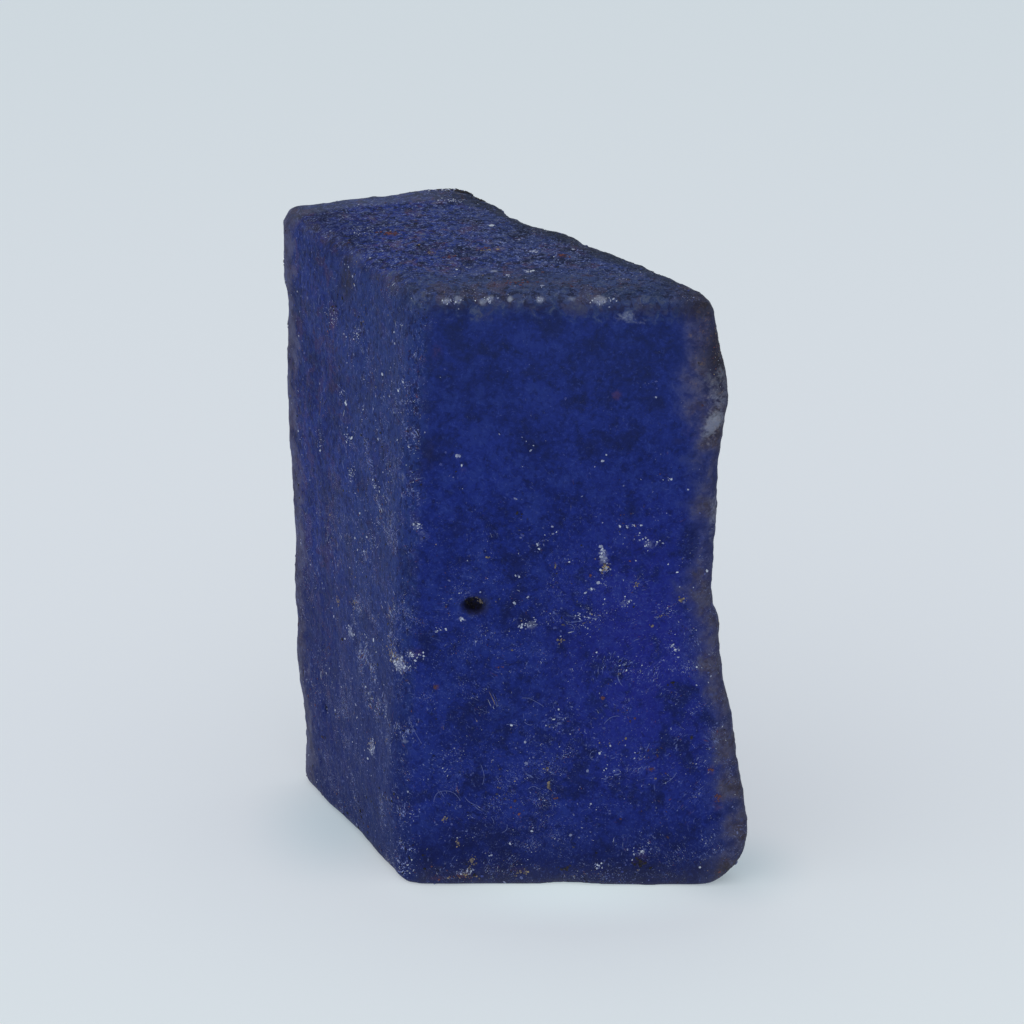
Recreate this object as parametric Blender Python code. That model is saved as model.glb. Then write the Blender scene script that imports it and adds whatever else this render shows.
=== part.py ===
"""Rough tanzanite: one worn fragment of a blue crystal, standing on its broken foot.

The stone is a single solid. It is laid out from five long edges: two bound the broad front face,
two the short back face, and the fifth is the shallow valley in which the two fractures of the right
side meet. The edges are worn round, chips and hollows are struck out of the block, and the skin is
then weathered. The foot is flat where the stone stands.
"""

import math

import bmesh
import bpy
from mathutils import Matrix, Vector

MM = 0.001  # the sizes below are in millimetres

# The long edges before wear, each as (height, x, y) from foot to crown, anticlockwise from above.
LONG_EDGES = {
    "front_left": (
        (0.0, -5.20, -6.85),
        (5.0, -5.45, -6.75),
        (15.5, -5.05, -6.62),
        (22.0, -4.70, -6.52),
        (29.4, -4.35, -6.58),
    ),
    "front_right": (
        (0.0, 9.80, -6.95),
        (0.9, 11.10, -6.90),
        (1.8, 11.62, -6.85),
        (2.8, 11.90, -6.82),
        (5.0, 11.78, -6.76),
        (7.2, 11.40, -6.72),
        (9.4, 11.00, -6.72),
        (11.4, 10.60, -6.76),
        (13.2, 10.68, -6.80),
        (14.8, 10.26, -6.82),
        (17.0, 10.34, -6.85),
        (21.0, 10.42, -6.92),
        (23.4, 10.76, -6.96),
        (25.0, 10.94, -7.00),
        (26.6, 10.62, -7.04),
        (28.2, 9.98, -7.08),
        (29.4, 10.10, -7.12),
    ),
    "right_valley": (
        (0.0, 3.90, 0.90),
        (6.0, 3.70, 1.00),
        (13.0, 2.30, 1.50),
        (21.0, 1.90, 2.40),
        (29.4, 1.80, 2.95),
    ),
    "back_right": (
        (0.0, -0.60, 7.10),
        (6.0, -0.80, 7.50),
        (13.0, -1.60, 7.60),
        (21.0, -2.20, 8.00),
        (29.4, -2.45, 8.60),
    ),
    "back_left": (
        (0.0, -10.45, 5.00),
        (12.0, -10.80, 5.10),
        (20.0, -11.02, 5.25),
        (29.4, -11.10, 5.65),
    ),
}
HEIGHT = 29.4

# The borders of the rows of faces: close together at the foot, then even up to the crown's own row.
FOOT_ROWS = (0.0, 0.9, 1.8, 2.8)
CROWN_ROW = 1.8
ROWS_BETWEEN = 19

# How far wear has eaten back along the faces from each edge. For each long edge: along it, along its
# end at the foot, then along the edges of the crown and of the foot that run from it, anticlockwise.
WEAR = {
    "front_left": (0.90, 0.80, 0.90, 0.50),
    "front_right": (2.60, 0.90, 1.00, 0.60),
    "right_valley": (0.00, 0.00, 0.80, 0.75),
    "back_right": (1.30, 1.10, 0.60, 0.75),
    "back_left": (0.80, 0.80, 0.80, 0.70),
}
WEAR_STEPS = 5

# Chips and hollows: (name, centre of the bite, its radii, its turn about Z in degrees).
BITES = (
    ("bruise_chip", (9.70, -7.95, 23.3), (1.3, 1.4, 1.2), 0),
    ("waist_scallop", (11.30, -4.70, 15.6), (2.6, 4.2, 2.2), 40),
    ("waist_step", (9.95, -5.70, 16.75), (0.85, 2.4, 0.62), 45),
    ("crown_rim_bite", (1.05, 4.40, 29.8), (1.4, 2.6, 1.5), 30),
    ("crown_corner_nick", (8.30, -4.85, 29.7), (0.7, 0.7, 0.7), 0),
    ("back_foot_chip", (-7.80, 6.60, 1.2), (2.3, 1.5, 1.7), 13),
    ("back_edge_chip", (-1.85, 8.85, 25.0), (1.1, 1.0, 1.9), 0),
    ("left_edge_nick", (-11.50, 5.20, 25.3), (0.75, 0.75, 0.45), 0),
    ("left_edge_low_nick", (-11.40, 5.00, 10.4), (0.8, 0.8, 0.5), 0),
    ("front_pit", (-1.90, -6.90, 14.45), (0.60, 0.80, 0.42), 0),
    ("foot_arch", (3.20, -6.40, -0.95), (3.4, 3.0, 1.15), 0),
)

# Shallow shell-shaped scars of the fractures, each on the side between two long edges: (name, those
# edges, the share of the way from the first to the second, height, half width, half height, depth).
SCARS = (
    ("shoulder_scar", "front_right", "right_valley", 0.52, 22.6, 4.6, 5.4, 0.70),
    ("flank_scar", "front_right", "right_valley", 0.80, 13.2, 4.4, 5.8, 0.75),
    ("heel_scar", "front_right", "right_valley", 0.48, 5.6, 4.4, 4.8, 0.65),
    ("rear_upper_scar", "right_valley", "back_right", 0.42, 22.8, 3.6, 6.4, 0.60),
    ("rear_middle_scar", "right_valley", "back_right", 0.66, 12.6, 3.4, 5.2, 0.55),
    ("rear_lower_scar", "right_valley", "back_right", 0.30, 4.0, 3.8, 4.0, 0.60),
    ("back_dish", "back_right", "back_left", 0.58, 17.0, 3.9, 6.6, 0.45),
    ("back_low_dish", "back_right", "back_left", 0.34, 7.0, 3.2, 4.4, 0.32),
)
SCAR_BULGE = 6.0  # radius, square to the side, of the body that strikes a scar off

VOXEL = 0.22
SMOOTHING = 7
# Weathering of the skin: (name, size of the swells, their height).
SWELLS = (
    ("broad_swells", 4.5, 0.30),
    ("small_swells", 1.8, 0.08),
)
KEPT_SHARE = 0.101  # of the faces, once the flat ones are merged
FOOT_WORN = 0.22  # how much of the foot's swells is worn flat
GROUND_SIDE = 60.0
BLUE = (0.014, 0.020, 0.135, 1.0)
ROUGHNESS = 0.62


def clear_scene():
    for obj in list(bpy.data.objects):
        bpy.data.objects.remove(obj, do_unlink=True)


def on_line(line, height):
    """The point of a long edge at a height, in millimetres."""
    for (low, x_low, y_low), (high, x_high, y_high) in zip(line, line[1:]):
        if height <= high:
            share = (height - low) / (high - low)
            return Vector((x_low + share * (x_high - x_low), y_low + share * (y_high - y_low), height))
    return Vector((line[-1][1], line[-1][2], height))


def row_heights():
    """The heights of the rows' borders, from foot to crown."""
    lowest = FOOT_ROWS[-1]
    step = (HEIGHT - CROWN_ROW - lowest) / ROWS_BETWEEN
    return [*FOOT_ROWS, *(lowest + step * (row + 1) for row in range(ROWS_BETWEEN)), HEIGHT]


def make_material():
    material = bpy.data.materials.new("tanzanite_blue")
    material.use_nodes = True
    shader = material.node_tree.nodes["Principled BSDF"]
    shader.inputs["Base Color"].default_value = BLUE
    shader.inputs["Roughness"].default_value = ROUGHNESS
    shader.inputs["Metallic"].default_value = 0.0
    return material


def make_block(material):
    """The unworn fragment, with the wear of each edge as its bevel weight."""
    names = list(LONG_EDGES)
    sides = [(name, names[(i + 1) % len(names)]) for i, name in enumerate(names)]
    shape = bmesh.new()
    rings = [
        {name: shape.verts.new(on_line(LONG_EDGES[name], height) * MM) for name in names}
        for height in row_heights()
    ]
    for lower, upper in zip(rings, rings[1:]):
        for name, following in sides:
            shape.faces.new((lower[name], lower[following], upper[following], upper[name]))
    foot, crown = rings[0], rings[-1]
    shape.faces.new([foot[name] for name in reversed(names)])
    shape.faces.new([crown[name] for name in names])

    full_wear = max(max(wear) for wear in WEAR.values())
    weights = shape.edges.layers.float.new("bevel_weight_edge")
    for name, following in sides:
        along, at_foot_end, at_crown, at_foot = (wear / full_wear for wear in WEAR[name])
        for row, (lower, upper) in enumerate(zip(rings, rings[1:])):
            in_foot_rows = row < len(FOOT_ROWS) - 1
            shape.edges.get((lower[name], upper[name]))[weights] = at_foot_end if in_foot_rows else along
        shape.edges.get((crown[name], crown[following]))[weights] = at_crown
        shape.edges.get((foot[name], foot[following]))[weights] = at_foot

    mesh = bpy.data.meshes.new("tanzanite")
    shape.to_mesh(mesh)
    shape.free()
    mesh.materials.append(material)
    block = bpy.data.objects.new("tanzanite", mesh)
    bpy.context.collection.objects.link(block)
    worn = block.modifiers.new("wear", "BEVEL")
    worn.limit_method = "WEIGHT"
    worn.width = full_wear * MM
    worn.segments = WEAR_STEPS
    worn.use_clamp_overlap = False
    return block


def make_bite(name, centre, radii, turn, parent):
    """A rounded body that is struck out of the block."""
    shape = bmesh.new()
    bmesh.ops.create_icosphere(shape, subdivisions=4, radius=1.0)
    bmesh.ops.scale(shape, vec=Vector(radii) * MM, verts=shape.verts)
    bmesh.ops.rotate(shape, matrix=Matrix.Rotation(math.radians(turn), 3, "Z"), verts=shape.verts)
    mesh = bpy.data.meshes.new(name)
    shape.to_mesh(mesh)
    shape.free()
    return as_cutter(bpy.data.objects.new(name, mesh), centre, parent)


def as_cutter(obj, centre, parent):
    bpy.context.collection.objects.link(obj)
    obj.location = Vector(centre) * MM
    obj.parent = parent
    obj.hide_render = True
    obj.display_type = "WIRE"
    return obj


def make_scar(name, first, second, share, height, half_width, half_height, depth, parent):
    """The body that strikes a shallow scar off the side between two long edges."""
    start, end = (on_line(LONG_EDGES[edge], height) for edge in (first, second))
    outwards = (end - start).cross(Vector((0.0, 0.0, 1.0))).normalized()
    bulk = SCAR_BULGE / math.sqrt(SCAR_BULGE**2 - (SCAR_BULGE - depth) ** 2)
    return make_bite(
        name,
        start.lerp(end, share) + outwards * (SCAR_BULGE - depth),
        (SCAR_BULGE, half_width * bulk, half_height * bulk),
        math.degrees(math.atan2(outwards.y, outwards.x)),
        parent,
    )


def make_ground(parent):
    """What the foot has been worn flat on: a cube whose top is the resting plane."""
    shape = bmesh.new()
    bmesh.ops.create_cube(shape, size=GROUND_SIDE * MM)
    mesh = bpy.data.meshes.new("ground")
    shape.to_mesh(mesh)
    shape.free()
    return as_cutter(bpy.data.objects.new("ground", mesh), (0.0, 0.0, FOOT_WORN - GROUND_SIDE / 2), parent)


def cut(block, cutter):
    bite = block.modifiers.new(cutter.name, "BOOLEAN")
    bite.operation = "DIFFERENCE"
    bite.solver = "EXACT"
    bite.object = cutter


def soften(block):
    """One even skin over the worn block, with the lips of its chips rubbed soft."""
    skin = block.modifiers.new("skin", "REMESH")
    skin.mode = "VOXEL"
    skin.voxel_size = VOXEL * MM
    rubbed = block.modifiers.new("rubbed", "SMOOTH")
    rubbed.factor = 0.5
    rubbed.iterations = SMOOTHING


def weather(block):
    for name, size, height in SWELLS:
        texture = bpy.data.textures.new(name, "CLOUDS")
        texture.noise_scale = size * MM
        texture.noise_depth = 1
        swell = block.modifiers.new(name, "DISPLACE")
        swell.texture = texture
        swell.texture_coords = "LOCAL"
        swell.mid_level = 0.5
        swell.strength = height * MM


def thin_out(block):
    fewer = block.modifiers.new("fewer_faces", "DECIMATE")
    fewer.decimate_type = "COLLAPSE"
    fewer.ratio = KEPT_SHARE


def centre_over_foot(block, parent):
    """Put the middle of the finished stone's outline over the origin, its foot at height 0."""
    bpy.context.view_layer.update()
    finished = block.evaluated_get(bpy.context.evaluated_depsgraph_get())
    corners = [Vector(corner) for corner in finished.bound_box]
    lowest = Vector(min(corner[axis] for corner in corners) for axis in range(3))
    highest = Vector(max(corner[axis] for corner in corners) for axis in range(3))
    middle = (lowest + highest) / 2
    parent.location = (-middle.x, -middle.y, -lowest.z)


def main():
    clear_scene()
    stone = bpy.data.objects.new("stone", None)
    bpy.context.collection.objects.link(stone)
    block = make_block(make_material())
    block.parent = stone
    for name, centre, radii, turn in BITES:
        cut(block, make_bite(name, centre, radii, turn, stone))
    for scar in SCARS:
        cut(block, make_scar(*scar, stone))
    soften(block)
    weather(block)
    thin_out(block)
    cut(block, make_ground(stone))
    centre_over_foot(block, stone)


main()
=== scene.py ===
"""Looks of the rough tanzanite: a worn, frosted fragment of deep blue crystal, dusty and flecked.

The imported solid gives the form. A finer skin is grown on a copy of it, worn and pitted, and takes
the frosted blue finish. Mineral grains and dust fibres lie on the skin as pieces of their own.
Sizes and places are in millimetres and are turned into metres where they are used.
"""

import math

import bpy
import numpy as np
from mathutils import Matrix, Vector
from mathutils.bvhtree import BVHTree


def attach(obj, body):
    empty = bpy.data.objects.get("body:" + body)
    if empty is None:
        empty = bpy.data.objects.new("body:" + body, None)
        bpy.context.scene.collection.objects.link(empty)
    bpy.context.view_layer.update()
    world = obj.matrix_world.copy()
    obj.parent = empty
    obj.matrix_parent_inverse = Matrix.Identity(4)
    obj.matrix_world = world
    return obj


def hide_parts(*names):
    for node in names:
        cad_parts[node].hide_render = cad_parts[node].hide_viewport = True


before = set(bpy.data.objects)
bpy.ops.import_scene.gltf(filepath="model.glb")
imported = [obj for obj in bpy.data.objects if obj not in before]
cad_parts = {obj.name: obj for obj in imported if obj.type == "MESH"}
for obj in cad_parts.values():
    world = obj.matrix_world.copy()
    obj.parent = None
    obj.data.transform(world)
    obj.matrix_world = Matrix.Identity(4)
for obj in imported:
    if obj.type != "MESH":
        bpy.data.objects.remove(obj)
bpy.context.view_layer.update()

MM = 0.001

# ---- where the stone's faces look
FRONT = (-0.02, -1.0, 0.0)
LEFT = (-0.91, -0.41, 0.01)
CROWN = (0.0, 0.0, 1.0)
FOOT = (0.0, 0.0, -1.0)
BACK = (-0.28, 0.96, 0.0)
RIGHT = (0.75, 0.66, 0.0)
RIGHT_REAR = (0.81, 0.59, 0.0)
FACES = (FRONT, LEFT, CROWN, FOOT, BACK, RIGHT, RIGHT_REAR)

# ---- the skin
SKIN_VOXEL = 0.158
SKIN_SMOOTHING = 8
WELD = 0.001
EDGE_TO_FLAT = (0.9, 0.995)  # how squarely a point faces out, on an edge and off it
HOLD_STEPS = 20  # steps to which the weights that hold a relief are rounded
# Relief of the skin: (name, size of the grain, height, group that holds it, stretch of the grain).
RELIEF = (
    ("lumps", 1.5, 0.05, "all_over", (1.0, 1.0, 1.0)),
    ("frosting", 0.42, 0.04, "all_over", (1.0, 1.0, 1.0)),
    ("side_furrows", 0.42, 0.06, "left", (1.0, 1.0, 1.8)),
    ("rear_swells", 2.2, 0.24, "rear", (1.0, 1.0, 1.4)),
    ("rear_furrows", 0.6, 0.08, "rear", (1.0, 1.0, 1.4)),
    ("crown_furrows", 0.5, 0.06, "crown", (1.0, 1.0, 1.0)),
    ("worn_edges", 0.8, 0.09, "ridges", (1.0, 1.0, 1.0)),
    ("nibbled_edges", 0.36, 0.1, "ridges", (1.0, 1.0, 1.0)),
)
# Hollows pressed into the skin: (centre, radii, depth).
HOLLOWS = (
    ((-1.91, -7.35, 14.17), (0.62, 0.8, 0.44), 0.42),
    ((1.84, -3.33, 29.16), (0.26, 0.22, 0.3), 0.16),
    ((-9.02, 0.88, 5.22), (0.3, 0.3, 0.32), 0.16),
    ((-6.2, -6.6, 20.6), (0.5, 0.5, 0.8), 0.1),
    ((8.82, -7.38, 22.55), (0.55, 0.6, 0.28), 0.16),
    ((9.3, -7.2, 24.2), (0.5, 0.7, 0.3), 0.12),
    ((2.6, -7.45, 0.2), (1.9, 0.9, 0.5), 0.1),
)
# Shallow scars of old fractures, each with a crisp rim: (centre, radius, depth).
SCARS = (
    ((6.6, -3.6, 20.5), 4.6, 0.34), ((2.4, 1.0, 15.5), 4.2, 0.4),
    ((6.4, -3.4, 9.5), 4.4, 0.36), ((0.4, 3.6, 23.0), 3.6, 0.32),
    ((1.4, 2.4, 6.0), 3.8, 0.38), ((-1.0, 5.4, 12.5), 3.0, 0.3),
    ((7.8, -5.0, 25.8), 2.6, 0.26), ((3.6, -0.2, 26.6), 2.6, 0.24),
    ((5.2, -2.2, 2.6), 3.0, 0.26), ((-4.6, 6.4, 20.0), 3.8, 0.3),
    ((-8.0, 5.3, 13.0), 3.2, 0.28), ((-5.0, 6.0, 6.0), 3.6, 0.32),
    ((-8.6, 5.2, 24.6), 2.6, 0.24), ((-2.6, 6.8, 26.4), 1.8, 0.22),
    ((-8.6, 5.0, 3.4), 2.8, 0.24),
)
DEEPEST_HOLLOW = max(depth for _, _, depth in HOLLOWS)
SLAB = 0.5  # width of the slabs in which an outline is looked up
PIT, PIT_REACH = HOLLOWS[0][0], (1.6, 1.2, 1.4)  # no edge looks rubbed in the pit
# An old chip low on the back, whose rim has lost most of its rubbed look.
BACK_CHIP, BACK_CHIP_REACH, BACK_CHIP_LOSS = (-7.8, 6.6, 1.2), (3.2, 3.2, 3.2), 0.85
CROWN_ABOVE = 28.0  # only points above this belong to the crown's outline
# How far the right rim reaches over the front, at each height: (height, reach). The rim is worn and
# stained, and carries a painted grazing sheen.
RIM_REACH = (
    (0.0, 2.9), (3.0, 3.1), (5.4, 3.3), (8.2, 2.8), (11.0, 2.6), (14.0, 3.4), (17.0, 2.9),
    (19.6, 2.9), (22.0, 3.1), (24.4, 4.4), (26.0, 4.1), (28.0, 3.7), (29.2, 3.7),
)


def belongs(piece):
    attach(piece, "root")


def unit(direction):
    return Vector(direction).normalized()


def colour(red, green, blue):
    """A colour given as seen on a screen, 0 to 255, as the light it sends."""
    return (*(((part / 255 + 0.055) / 1.055) ** 2.4 for part in (red, green, blue)), 1.0)


# ---- modelling helpers
def add_object(name, data):
    obj = bpy.data.objects.new(name, data)
    bpy.context.collection.objects.link(obj)
    return obj


def work_on(obj):
    bpy.ops.object.select_all(action="DESELECT")
    obj.select_set(True)
    bpy.context.view_layer.objects.active = obj


def apply_modifier(obj, kind, **settings):
    work_on(obj)
    modifier = obj.modifiers.new(kind.lower(), kind)
    for name, value in settings.items():
        setattr(modifier, name, value)
    bpy.ops.object.modifier_apply(modifier=modifier.name)


def rows_of(items, name, width=3, kind=np.float32):
    """One property of all items as an array, with a row for each."""
    flat = np.empty(len(items) * width, kind)
    items.foreach_get(name, flat)
    return flat.reshape(-1, width)


def points_of(mesh):
    """The mesh's vertices as an array, in millimetres."""
    return rows_of(mesh.vertices, "co") / MM


def normals_of(mesh):
    return rows_of(mesh.vertex_normals, "vector")


def ease(values, low, high):
    """0 below low, 1 above high, and a smooth step between."""
    share = np.clip((values - low) / (high - low), 0.0, 1.0)
    return share * share * (3.0 - 2.0 * share)


def nearness(points, centre, radii):
    """1 at the centre of an ellipsoid, falling smoothly to 0 at its surface."""
    reach = np.linalg.norm((points - np.array(centre)) / np.array(radii), axis=1)
    return 1.0 - ease(reach, 0.0, 1.0)


def scar(mesh, scars):
    """Press shallow round scars into a mesh; where two meet they leave a crisp ridge."""
    points, normals = points_of(mesh), normals_of(mesh)
    depths = np.zeros(len(points))
    for centre, radius, depth in scars:
        reach = np.linalg.norm(points - np.array(centre), axis=1) / radius
        depths = np.maximum(depths, depth * (1.0 - reach**2))
    moved = (points - normals * depths[:, None]) * MM
    mesh.vertices.foreach_set("co", moved.astype(np.float32).ravel())
    mesh.update()


def paint(obj, name, values):
    """Keep values, one for each vertex, as an attribute that the finish reads."""
    attribute = obj.data.attributes.new(name, "FLOAT", "POINT")
    attribute.data.foreach_set("value", values.astype(np.float32))


def hold(obj, name, values):
    """Keep values, one for each vertex, as the weights of the vertex group that holds a relief."""
    group = obj.vertex_groups.new(name="hold_" + name)
    steps = np.round(np.clip(values, 0.0, 1.0) * HOLD_STEPS).astype(int)
    for step in range(1, HOLD_STEPS + 1):
        group.add(np.flatnonzero(steps == step).tolist(), step / HOLD_STEPS, "REPLACE")


# ---- marks on the skin
# Dabs of dust and stain, and dark dabs that are partly painted shade: (place, radii, strength).
PALE_DABS = (
    ((8.95, -7.3, 23.3), (0.8, 1.4, 0.95), 1.0), ((8.75, -7.3, 22.8), (0.75, 1.4, 0.8), 0.8),
    ((8.7, -7.3, 22.3), (0.8, 1.2, 0.9), 0.35), ((9.2, -7.2, 25.2), (1.8, 1.6, 1.7), 0.42),
    ((9.2, -7.25, 24.35), (1.3, 1.4, 1.2), 0.48), ((9.1, -7.2, 18.4), (0.7, 1.2, 3.6), 0.5),
    ((4.88, -7.46, 28.3), (0.95, 0.6, 0.5), 0.6), ((-3.0, -7.2, 26.2), (1.6, 0.9, 1.8), 0.13),
    ((1.8, -7.3, 27.2), (3.2, 0.9, 1.2), 0.15), ((3.77, -7.07, 28.94), (0.55, 0.6, 0.34), 1.3),
    ((-3.05, -6.98, 28.84), (0.34, 0.6, 0.2), 1.2), ((-2.55, -6.98, 28.9), (0.26, 0.6, 0.24), 1.4),
    ((-1.45, -6.94, 28.82), (0.34, 0.6, 0.22), 1.2), ((-1.1, -6.94, 28.98), (0.2, 0.6, 0.2), 1.5),
    ((-0.23, -6.92, 28.94), (0.26, 0.6, 0.18), 1.4), ((0.35, -6.95, 28.86), (0.2, 0.6, 0.16), 0.8),
    ((1.11, -7.07, 28.96), (0.26, 0.6, 0.22), 1.5), ((2.5, -7.07, 29.0), (0.4, 0.6, 0.16), 0.8),
    ((5.6, -7.3, 28.1), (0.7, 0.6, 0.34), 0.6), ((-5.26, -6.9, 11.1), (0.62, 0.8, 0.72), 0.9),
    ((-6.66, -4.37, 5.63), (0.5, 0.6, 0.62), 0.75), ((-7.69, -2.12, 10.54), (0.42, 0.6, 0.6), 0.65),
    ((-4.52, -7.06, 18.07), (0.55, 0.7, 0.5), 0.45), ((3.98, -7.45, 16.6), (0.4, 0.5, 0.6), 1.0),
    ((6.1, -7.43, 17.3), (0.7, 0.5, 0.5), 0.45), ((0.73, -7.37, 13.25), (0.5, 0.5, 0.4), 0.75),
    ((4.99, -7.42, 14.42), (0.5, 0.5, 0.45), 0.6), ((3.4, -7.4, 14.0), (2.6, 0.9, 1.9), 0.16),
    ((-2.46, -7.28, 13.51), (0.45, 0.5, 0.25), 0.4), ((-2.81, 6.9, 29.15), (1.0, 0.5, 0.3), 0.7),
    ((-3.6, -7.3, 8.0), (1.4, 0.8, 2.4), 0.14), ((-5.06, -6.57, 20.17), (0.22, 0.5, 0.8), 0.45),
    ((-4.8, -7.18, 11.77), (0.6, 0.5, 0.45), 0.45), ((-5.06, -7.24, 7.35), (0.28, 0.4, 0.26), 0.7),
    ((-8.33, -0.62, 11.45), (0.3, 0.5, 0.3), 0.45), ((-7.43, -2.49, 12.23), (0.3, 0.5, 0.3), 0.4),
    ((-1.84, -4.23, 29.11), (0.6, 0.5, 0.3), 0.45), ((-0.95, -3.95, 29.16), (0.34, 0.34, 0.3), 1.1),
    ((0.86, -1.44, 29.19), (0.4, 0.3, 0.3), 0.9), ((-2.41, -7.44, 0.67), (0.5, 0.5, 0.24), 0.55),
    ((-2.52, -7.2, 21.49), (0.26, 0.4, 0.18), 0.8), ((-4.15, -7.16, 17.55), (0.6, 0.6, 0.75), 0.38),
)
BROWN_DABS = (
    ((-8.3, -0.2, 25.4), (0.6, 0.8, 1.6), 0.5), ((-8.6, 0.3, 23.2), (0.4, 0.6, 1.8), 0.4),
    ((-9.2, 1.4, 26.4), (0.5, 0.8, 1.6), 0.35), ((-5.63, 0.84, 29.18), (0.6, 0.5, 0.4), 0.95),
    ((-4.4, 0.94, 29.19), (0.6, 0.5, 0.4), 0.6), ((-5.32, -1.05, 29.14), (0.7, 0.6, 0.4), 0.6),
    ((-3.81, -1.6, 29.16), (0.45, 0.5, 0.4), 0.95), ((-2.9, -2.15, 29.16), (0.4, 0.4, 0.4), 0.8),
    ((-0.77, -1.22, 29.2), (0.5, 0.6, 0.4), 0.9), ((-0.9, -5.8, 29.17), (1.3, 0.7, 0.4), 0.6),
    ((2.12, -2.06, 29.18), (0.6, 0.5, 0.4), 0.7), ((1.6, -5.6, 29.1), (1.6, 0.7, 0.5), 0.4),
    ((4.55, -7.33, 24.51), (0.4, 0.5, 0.45), 0.8), ((-3.62, -7.32, 10.12), (0.3, 0.5, 0.3), 0.8),
    ((6.26, -7.31, 5.96), (0.35, 0.5, 0.22), 0.8), ((9.03, -7.29, 5.9), (0.4, 0.6, 0.5), 0.6),
    ((9.37, -7.33, 4.2), (0.5, 0.6, 0.8), 0.6), ((8.09, -7.33, 3.77), (0.4, 0.6, 0.3), 0.5),
    ((-2.41, -7.44, 0.6), (0.7, 0.6, 0.3), 0.75), ((-3.6, -7.42, 0.4), (1.2, 0.6, 0.3), 0.5),
    ((-8.8, 0.38, 6.19), (0.32, 0.5, 0.4), 0.6), ((-3.66, -7.31, 10.17), (0.3, 0.4, 0.26), 0.6),
    ((0.23, -7.42, 0.82), (0.9, 0.7, 0.35), 0.5), ((5.79, -7.42, 1.4), (0.8, 0.7, 0.7), 0.55),
    ((-9.9, 3.1, 15.5), (0.5, 1.0, 1.2), 0.6), ((-8.86, 0.51, 6.13), (0.35, 0.5, 0.5), 0.6),
    ((-8.28, -0.74, 11.51), (0.35, 0.5, 0.4), 0.6), ((6.6, -7.35, 11.0), (1.8, 0.6, 1.3), 0.14),
    ((7.9, -7.35, 22.7), (0.9, 0.6, 1.0), 0.34), ((-3.5, -7.2, 26.6), (0.7, 0.6, 1.3), 0.36),
    ((-2.3, -7.3, 20.9), (0.6, 0.6, 0.8), 0.3), ((-4.5, -7.12, 11.8), (0.7, 0.5, 0.45), 0.85),
    ((4.12, -7.45, 16.15), (0.35, 0.5, 0.4), 0.55),
)
GRIME_DABS = (
    ((-1.8, -7.35, 14.17), (1.2, 0.9, 0.9), 1.2), ((-7.6, -1.0, 27.6), (0.9, 1.5, 2.0), 1.2),
    ((-8.2, -0.2, 23.6), (0.6, 0.9, 1.6), 0.45), ((-3.85, -7.15, 21.6), (0.5, 0.5, 1.8), 0.62),
    ((-3.9, -7.05, 27.3), (0.6, 0.7, 1.2), 0.45), ((9.1, -7.2, 26.3), (1.5, 1.2, 2.6), 0.95),
    ((7.9, -7.2, 28.6), (1.8, 1.4, 0.8), 0.8), ((7.3, -7.4, 22.3), (0.55, 0.6, 0.4), 0.6),
    ((-1.5, 7.2, 29.15), (2.2, 1.2, 0.6), 0.9), ((3.2, -7.3, 0.0), (8.5, 1.4, 0.85), 0.58),
    ((-6.5, -4.0, 0.0), (3.6, 4.6, 1.1), 0.85), ((8.8, -7.2, 0.9), (1.8, 1.2, 1.1), 0.7),
    ((-9.6, 2.6, 9.0), (0.6, 1.2, 3.4), 0.45), ((-9.9, 3.0, 20.0), (0.5, 1.2, 4.4), 0.45),
)
DARK_DABS = (
    # The first three dark dabs blacken the pit and two small hollows: partly dark mineral, partly
    # painted shade inside them.
    ((-1.91, -7.35, 14.17), (0.86, 0.9, 0.64), 1.75),
    ((1.84, -3.33, 29.16), (0.24, 0.24, 0.3), 1.4), ((-9.02, 0.88, 5.22), (0.28, 0.32, 0.3), 1.4),
    ((1.69, -7.37, 9.7), (0.9, 0.5, 1.0), 0.22), ((-7.6, -1.0, 28.6), (0.6, 0.9, 0.7), 0.5),
    ((-1.4, 7.9, 29.1), (1.1, 0.8, 0.6), 0.9), ((1.2, 5.2, 29.1), (1.4, 1.4, 0.7), 0.6),
    ((9.3, -6.6, 28.0), (0.9, 1.4, 1.4), 0.5), ((7.2, -7.36, 10.3), (0.25, 0.4, 0.22), 0.8),
    ((8.1, -7.35, 7.6), (0.2, 0.4, 0.18), 0.8),
)

def dabs(points, marks):
    """How strongly marks show at each point. A mark is (place, radii, strength)."""
    total = np.zeros(len(points))
    for place, radii, strength in marks:
        total = np.maximum(total, strength * nearness(points, place, radii))
    return total


# ---- the skin's form
def looks_along(normals, direction, low=0.8, high=0.96):
    return ease(normals @ np.array(unit(direction)), low, high)


def inset(along, reach):
    """How far each point lies in from the outermost one in its slab."""
    slabs = ((along - along.min()) / SLAB).astype(int)
    outline = np.full(slabs.max() + 1, reach.min())
    np.maximum.at(outline, slabs, reach)
    return np.interp(along - along.min(), (np.arange(len(outline)) + 0.5) * SLAB, outline) - reach


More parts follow.
